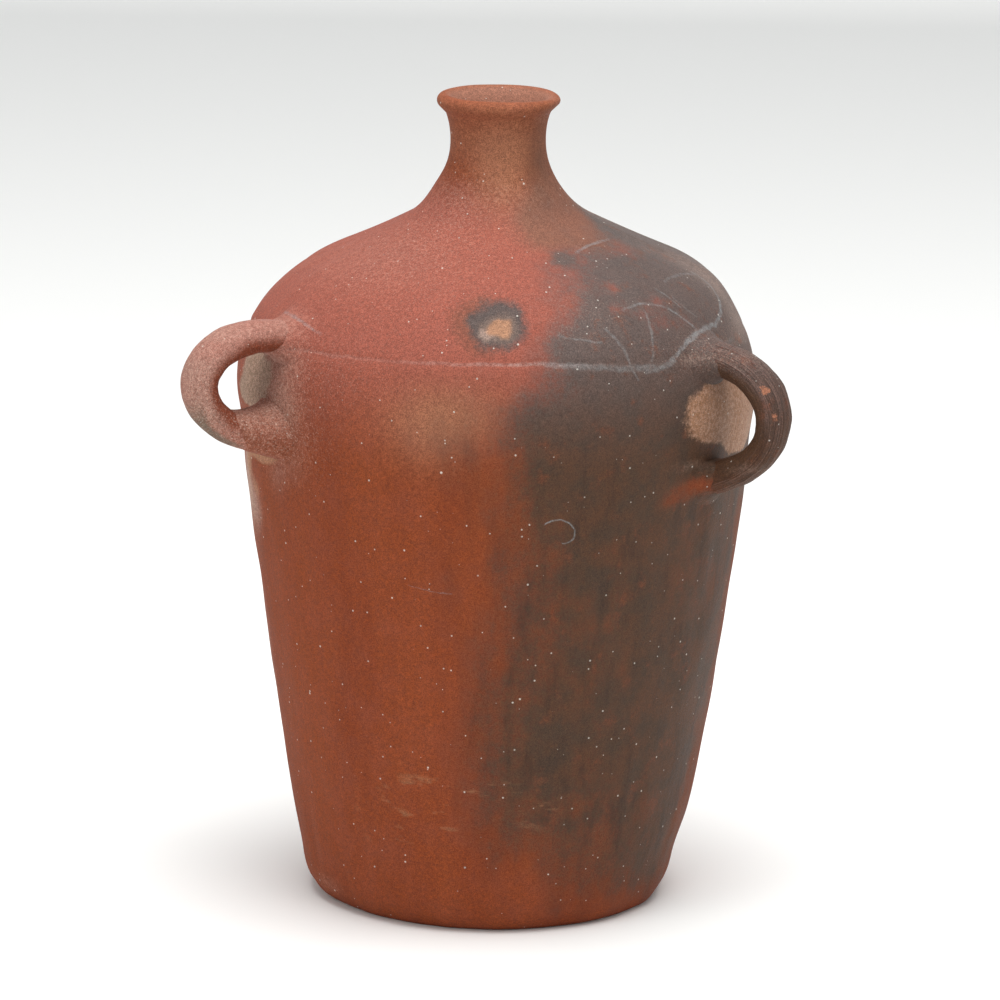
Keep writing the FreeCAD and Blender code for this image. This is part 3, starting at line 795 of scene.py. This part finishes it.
def scaled(tree, place, factors):
    made = node(tree, "VectorMath", operation="MULTIPLY")
    feed(tree, place, made.inputs[0])
    made.inputs[1].default_value = factors
    return made.outputs[0]


def gapTo(tree, place, centre):
    made = node(tree, "VectorMath", operation="DISTANCE")
    feed(tree, place, made.inputs[0])
    made.inputs[1].default_value = centre
    return made.outputs["Value"]


def warped(tree, place, scale, amount):
    # place + amount * (noise colour - a half)
    noise = node(tree, "TexNoise")
    feed(tree, place, noise.inputs["Vector"])
    noise.inputs["Scale"].default_value = scale
    noise.inputs["Detail"].default_value = 3.0
    shift = node(tree, "VectorMath", operation="MULTIPLY_ADD")
    feed(tree, noise.outputs["Color"], shift.inputs[0])
    shift.inputs[1].default_value = (amount,) * 3
    shift.inputs[2].default_value = (-0.5 * amount,) * 3
    both = node(tree, "VectorMath", operation="ADD")
    feed(tree, place, both.inputs[0])
    feed(tree, shift.outputs[0], both.inputs[1])
    return both.outputs[0]


def specks(tree, place, scale, size, keep):
    # round grains: near the middle of a cell, in the share of cells that is kept
    cells = node(tree, "TexVoronoi")
    feed(tree, place, cells.inputs["Vector"])
    cells.inputs["Scale"].default_value = scale
    split = node(tree, "SeparateColor")
    feed(tree, cells.outputs["Color"], split.inputs[0])
    reach = sums(tree, "MULTIPLY_ADD", split.outputs[1], size, size * 0.4)
    dot = rampTo(tree, cells.outputs["Distance"], times(tree, reach, 0.6), reach, 1.0, 0.0)
    return times(tree, dot, sums(tree, "LESS_THAN", split.outputs[0], keep))


def readPaint(tree, name):
    return node(tree, "Attribute", attribute_type="GEOMETRY", attribute_name=name).outputs["Fac"]


def surfacePoint(turn, height):
    # where a turn and a height lie on the jar, in metres
    radius = float(wallRadius(np.float64(turn), np.float64(height)))
    return placed(radius, turn, height) * toMetres


def roundThrough(places):
    # centre and radius of the circle through three places, in the plane that touches the surface at
    # the middle one, then the middle and half length of the stretch between the outer two
    a, b, c = (surfacePoint(*place) for place in places)
    turn, height = places[1]
    normal = np.cross(surfacePoint(turn + 1, height) - b, surfacePoint(turn, height + 2) - b)
    normal /= np.linalg.norm(normal)
    ab, ac = b - a, c - a
    ab, ac = ab - normal * (ab @ normal), ac - normal * (ac @ normal)
    axis = np.cross(ab, ac)
    shift = (np.cross(axis, ab) * (ac @ ac) + np.cross(ac, axis) * (ab @ ab)) / (2.0 * axis @ axis)
    start = a + normal * ((b - a) @ normal)
    return start + shift, float(np.linalg.norm(shift)), (a + c) / 2.0, float(np.linalg.norm(c - a)) / 2.0


def veinMask(tree, place):
    # each vein is where the surface is one radius from its circle's centre, faded past its two ends
    total = 0.0
    for first, second, third, half, shown in veins:
        centre, radius, middle, reach = roundThrough((first, second, third))
        off = sums(tree, "ABSOLUTE", sums(tree, "SUBTRACT", gapTo(tree, place, centre), radius))
        line = rampTo(tree, off, 0.25 * half * toMetres, 1.35 * half * toMetres, shown, 0.0)
        ends = rampTo(tree, gapTo(tree, place, middle), reach * 0.93, reach * 1.06, 1.0, 0.0)
        total = sums(tree, "MAXIMUM", total, times(tree, line, ends))
    worn = rampTo(tree, cloud(tree, place, *frayNoise), *ramps["veinWorn"])
    return times(tree, total, worn)


def paintLayer(tree, color, noise, name, top):
    # a colour laid where the vertex field of that name is, with its edge frayed
    return layer(tree, color, frayed(tree, readPaint(tree, name), noise, frays[name]), name, top)


def jarMarks(tree, look, place, noise, color):
    # bare clay behind the loops, peach smear, strokes near the foot, fire spot, joint line and veins
    for name in ("bareLeft", "bareRight"):
        bare = frayed(tree, readPaint(tree, name), noise, frays["bare"])
        mottled = layer(tree, clay[name], noise["fine"], "mottle", clay["dust"])
        color = over(tree, rampTo(tree, bare, *ramps["bare"], look["bare"]), color, mottled)
    color = paintLayer(tree, color, noise, "smear", clay["peach"])
    turned = node(tree, "Mapping")
    turned.inputs["Rotation"].default_value = (0.0, math.radians(stroke["tilt"]), 0.0)
    turned.inputs["Scale"].default_value = stroke["squeeze"]
    feed(tree, place, turned.inputs["Vector"])
    brushed = rampTo(tree, cloud(tree, turned.outputs[0], *brushNoise), *ramps["brush"])
    brushed = times(tree, brushed, rampTo(tree, readPaint(tree, "strokes"), *ramps["strokes"]))
    color = over(tree, times(tree, brushed, strength["strokes"]), color, clay["bareRight"])
    wavy = warped(tree, place, *warps["fireSpot"])
    for centre, full, gone, shown, name, isFrayed in fireSpot:
        gap = gapTo(tree, wavy, tuple(surfacePoint(*centre)))
        if isFrayed:
            gap = frayed(tree, gap, noise, frays["fireSpot"])
        ring = rampTo(tree, gap, full * toMetres, gone * toMetres, shown, 0.0)
        color = over(tree, ring, color, clay[name])
    gap = sums(tree, "ABSOLUTE", frayed(tree, readPaint(tree, "seamGap"), noise, frays["seam"]))
    line = times(tree, rampTo(tree, gap, *ramps["seam"]), rampTo(tree, noise["fine"], *ramps["seamWorn"]))
    color = over(tree, times(tree, line, readPaint(tree, "seamShow")), color, clay["seam"])
    color = over(tree, veinMask(tree, warped(tree, place, *warps["veins"])), color, clay["chalk"])
    return over(tree, readPaint(tree, "inside"), color, clay["inside"])


def strapMarks(tree, look, place, noise, combed, color):
    # fine lines drawn lengthwise, painted shade on the loop's inner side, a mossy outer strip, a glow at the
    # end and chips
    pale, dark = strength["combPale"] * look["comb"], strength["combDark"] * look["comb"]
    color = over(tree, rampTo(tree, combed, *ramps["combPale"], pale), color, clay["haze"])
    color = over(tree, rampTo(tree, combed, *ramps["combDark"], dark, 0.0), color, clay["soot"])
    around, along = readPaint(tree, "around"), readPaint(tree, "alongStrap")
    # painted shade: the loop's inner side, facing the middle of the loop, is laid darker
    color = layer(tree, color, frayed(tree, around, noise, frays["under"]), "under", look["underside"])
    off = sums(tree, "ABSOLUTE", sums(tree, "SUBTRACT", along, look["mossAt"]))
    edge = rampTo(tree, frayed(tree, around, noise, frays["moss"]), *ramps["moss"])
    moss = times(tree, times(tree, rampTo(tree, off, *ramps["mossEnds"]), edge), look["moss"])
    color = over(tree, moss, color, clay["mossGrey"])
    color = over(tree, rampTo(tree, along, *ramps["tipGlow"], look["tipGlow"]), color, clay["ember"])
    torn = warped(tree, place, *warps["chips"])
    for (outward, sideways, up), size in look["chips"]:
        centre = handleFrame(straps["right"]["turn"], outward, sideways, up) * toMetres
        gap, size = gapTo(tree, torn, tuple(centre)), size * toMetres
        chip = rampTo(tree, gap, size * 0.7, size * 1.1, strength["chip"], 0.0)
        color = over(tree, chip, color, clay["chip"])
    return color


def firedClay(name, look):
    # red clay, smoked dark in places, with its marks painted from the vertex fields
    material = bpy.data.materials.new(name)
    material.use_nodes = True
    tree = material.node_tree
    shader = tree.nodes["Principled BSDF"]
    place = node(tree, "TexCoord").outputs["Object"]
    upright = scaled(tree, place, (1.0, 1.0, uprightShare))
    noise = {kind: cloud(tree, upright if kind in uprightNoises else place, *setting)
             for kind, setting in noises.items()}
    upper, patchy, fine = readPaint(tree, "upper"), noise["patchy"], noise["fine"]
    lower = sums(tree, "SUBTRACT", 1.0, upper)
    noise["streak"] = plus(tree, times(tree, noise["streak"], lower), times(tree, noise["freckle"], upper))
    inner = sums(tree, "SUBTRACT", 1.0, readPaint(tree, "rootEdge"))    # a cuff's look ends at its skirt
    smoke = frayed(tree, readPaint(tree, "smoke"), noise, {"broad": look["ragged"], **frays["smoke"]})
    smoke = sums(tree, "SUBTRACT", smoke, times(tree, readPaint(tree, "rust"), strength["rust"]))
    smoked = rampTo(tree, plus(tree, smoke, times(tree, inner, look["smokeShift"])), *ramps["smoked"])
    # clean clay
    color = layer(tree, look["base"], noise["broad"], "deepRed", look["deep"])
    # the shoulder band is laid pinker, and heat there salmon: dust and painted sky sheen on the up-facing
    # shoulder
    color = over(tree, times(tree, upper, strength["rosy"]), color, clay["rosy"])
    hot = over(tree, upper, look["hot"], clay["salmon"])
    color = paintLayer(tree, color, noise, "heat", hot)
    color = paintLayer(tree, color, noise, "tan", clay["tan"])
    color = layer(tree, color, patchy, "rosy", clay["rosy"])
    color = paintLayer(tree, color, noise, "umber", clay["umber"])
    # smoked clay over it
    dark = layer(tree, clay["smokeBrown"], patchy, "smokeGrey", clay["smokeGrey"])
    dark = layer(tree, dark, noise["streak"], "soot", clay["soot"])
    # under smoke the shoulder band is laid greyer: dust and painted sky sheen
    dark = over(tree, times(tree, upper, strength["greyDustAndSheen"]), dark, clay["greyDustAndSheen"])
    dark = layer(tree, dark, noise["glow"], "ember", clay["ember"])
    color = over(tree, times(tree, smoked, look["smokeStrength"]), color, dark)
    # dusty veil
    dust = plus(tree, readPaint(tree, "dust"), times(tree, inner, look["dust"]))
    color = layer(tree, color, frayed(tree, dust, noise, frays["dust"]), "dust", clay["dust"])
    bumps = [(fine, relief["fine"]), (noise["grain"], relief["grain"])]
    if look["marked"]:
        color = jarMarks(tree, look, place, noise, color)
    if look["comb"]:
        thread = node(tree, "CombineXYZ")
        for socket, (field, factor) in zip(thread.inputs, combCells.items()):
            feed(tree, times(tree, readPaint(tree, field), factor), socket)
        combed = cloud(tree, thread.outputs[0], *combNoise)
        color = strapMarks(tree, look, place, noise, combed, color)
    # salt and pepper where salts have crusted
    coarse = readPaint(tree, "coarse")
    for rampName, top in (("pepperPale", clay["dust"]), ("pepperDark", clay["deepRed"])):
        crust = times(tree, rampTo(tree, noise["pepper"], *ramps[rampName]), coarse)
        color = over(tree, crust, color, top)
    # sand grains and fine mottling
    sand = 0.0
    for grains in sandGrains:
        sand = sums(tree, "MAXIMUM", sand, specks(tree, place, *grains))
    color = over(tree, times(tree, sand, strength["speck"]), color, clay["speck"])
    color = layer(tree, color, fine, "pit", clay["pit"])
    color = over(tree, 1.0, color, rampTo(tree, noise["grain"], *ramps["shade"]), "MULTIPLY")
    feed(tree, color, shader.inputs["Base Color"])
    gloss = frayed(tree, rampTo(tree, smoked, *ramps["gloss"]), noise, frays["gloss"])
    feed(tree, gloss, shader.inputs["Roughness"])
    shader.inputs["Specular IOR Level"].default_value = relief["shine"]
    # the relief is the sum of field * weight
    bumps += [(sand, relief["sand"]), (noise["streak"], relief["streak"])]
    if look["comb"]:
        bumps.append((combed, relief["comb"] * look["comb"]))
    height = 0.0
    for field, weight in bumps:
        height = plus(tree, height, times(tree, field, weight))
    bump = node(tree, "Bump")
    bump.inputs["Strength"].default_value = look["bump"]
    bump.inputs["Distance"].default_value = relief["depth"]
    feed(tree, height, bump.inputs["Height"])
    feed(tree, bump.outputs[0], shader.inputs["Normal"])
    return material


# The other looks start from the jar's and name what differs. A chip is (outward, sideways, height), size.
jarLook = {
    "base": clay["red"], "deep": clay["deepRed"], "hot": clay["orange"], "ragged": 0.9, "smokeShift": 0.0,
    "smokeStrength": 0.95, "dust": 0.0, "bump": 0.45, "marked": True, "bare": 0.9, "comb": 0.0,
}
looks = {
    "jarClay": jarLook,
    "lutingClay": {**jarLook, "bump": 0.7, "bare": 0.0},
    # each strap's look gives the colour of the painted shade on its inner side
    "leftStrapClay": {
        **jarLook, "base": clay["strapRose"], "deep": clay["rosy"], "ragged": 0.5, "smokeShift": -0.1,
        "smokeStrength": 0.6, "dust": 0.10, "bump": 0.8, "marked": False, "comb": 0.35,
        "moss": 0.8, "mossAt": 0.70, "tipGlow": 0.0, "underside": clay["deepRed"], "chips": []},
    "rightStrapClay": {
        **jarLook, "smokeShift": 0.5, "smokeStrength": 0.9, "dust": 0.08, "bump": 0.9, "marked": False,
        "comb": 1.0, "moss": 0.0, "mossAt": 0.5, "tipGlow": 0.7, "underside": clay["smokeBrown"],
        "chips": [((206.0, -12.2, 355.0), 3.8), ((213.5, -11.5, 338.0), 3.2),
                  ((210.0, -12.5, 346.5), 1.8), ((214.0, -10.0, 328.0), 1.6)]},
}
materials = {name: firedClay(name, look) for name, look in looks.items()}
for piece in jarPieces.values():
    piece.data.materials.append(materials["jarClay"])
for piece in rootPieces.values():
    piece.data.materials.append(materials["lutingClay"])
for side, piece in strapPieces.items():
    piece.data.materials.append(materials[side + "StrapClay"])
print("materials", {name: len(material.node_tree.nodes) for name, material in materials.items()})

# A wide pale dish: flat under the jar, curving up far away, so that no edge of it shows. Each
# panel is (position, size, power, what it looks at).
studio = {
    "flat": 7.0, "rise": 3.5, "upTo": -8.0, "hub": 0.02, "rows": 24, "columns": 96,
    "tone": tone(244, 243, 240), "rough": 0.9, "sky": (0.94, 0.97, 1.0, 1.0), "skyPower": 0.56,
    "panels": [
        ((0.2, -0.5, 3.4), 3.0, 135.0, (0.0, 0.0, 0.28)), ((-3.2, -2.8, 1.8), 2.0, 30.0, (0.0, 0.0, 0.28)),
        ((2.8, -3.2, 1.4), 1.8, 12.0, (0.0, 0.0, 0.28)), ((0.0, 5.0, 3.5), 3.0, 260.0, (0.0, 10.4, 1.6)),
    ],
}


def buildFloor(s):
    # flat disc, then a quarter round of radius `rise` going up at its edge
    flatRun = np.stack([np.linspace(s["hub"], s["flat"], s["rows"]), np.zeros(s["rows"])], -1)
    bend = roundRun([s["flat"], s["rise"]], s["rise"], -90.0, s["upTo"], s["rows"])
    profile = joined([flatRun, bend])
    around = np.linspace(-180.0, 180.0, s["columns"], endpoint=False)
    grid = placed(profile[:, :1], around[None, :], profile[:, 1:])
    points = np.vstack([grid.reshape(-1, 3), [[0.0, 0.0, 0.0]]])
    quads = gridFaces(len(profile), s["columns"], False)[:, ::-1]
    k = np.arange(s["columns"])
    fan = np.stack([k, (k + 1) % s["columns"], np.full(s["columns"], len(points) - 1)], -1)
    mesh = bpy.data.meshes.new("floor")
    mesh.from_pydata(points.tolist(), [], quads.tolist() + fan.tolist())
    mesh.polygons.foreach_set("use_smooth", np.ones(len(mesh.polygons), bool))
    material = bpy.data.materials.new("paleFloor")
    material.use_nodes = True
    shader = material.node_tree.nodes["Principled BSDF"]
    shader.inputs["Base Color"].default_value = s["tone"]
    shader.inputs["Roughness"].default_value = s["rough"]
    mesh.materials.append(material)
    floor = bpy.data.objects.new("floor", mesh)
    bpy.context.scene.collection.objects.link(floor)


def aimAt(thing, position, target, roll=0.0):
    # -Z of the thing looks from its position to the target, then it rolls about that line
    way = Vector(target) - Vector(position)
    turn = way.to_track_quat("-Z", "Y").to_matrix().to_4x4()
    thing.matrix_world = Matrix.Translation(position) @ turn @ Matrix.Rotation(roll, 4, "Z")


buildFloor(studio)
world = bpy.data.worlds.new("paleRoom")
bpy.context.scene.world = world
world.use_nodes = True
background = world.node_tree.nodes["Background"]
background.inputs["Color"].default_value = studio["sky"]
background.inputs["Strength"].default_value = studio["skyPower"]
for number, (position, size, power, target) in enumerate(studio["panels"]):
    lamp = bpy.data.lights.new("panel%d" % number, "AREA")
    lamp.shape, lamp.size, lamp.energy = "DISK", size, power
    holder = bpy.data.objects.new("panel%d" % number, lamp)
    bpy.context.scene.collection.objects.link(holder)
    aimAt(holder, position, target)

view = {
    "turn": 1.2, "elevation": 12.7, "distance": 4.1627, "aimHeight": 0.2562, "lens": 234.0, "sensor": 36.0,
    "shiftX": 0.0046, "shiftY": -0.0017, "roll": 0.0122, "farthest": 60.0,
}
camera = bpy.data.cameras.new("camera")
camera.lens, camera.sensor_width, camera.clip_end = view["lens"], view["sensor"], view["farthest"]
camera.shift_x, camera.shift_y = view["shiftX"], view["shiftY"]
cameraObject = bpy.data.objects.new("camera", camera)
bpy.context.scene.collection.objects.link(cameraObject)
turn, rise = math.radians(view["turn"]), math.radians(view["elevation"])
level, above = view["distance"] * math.cos(rise), view["distance"] * math.sin(rise)
position = (level * math.sin(turn), -level * math.cos(turn), view["aimHeight"] + above)
aimAt(cameraObject, position, (0.0, 0.0, view["aimHeight"]), view["roll"])
bpy.context.scene.camera = cameraObject
bpy.context.scene.view_settings.view_transform = "Standard"
print("studio ready")
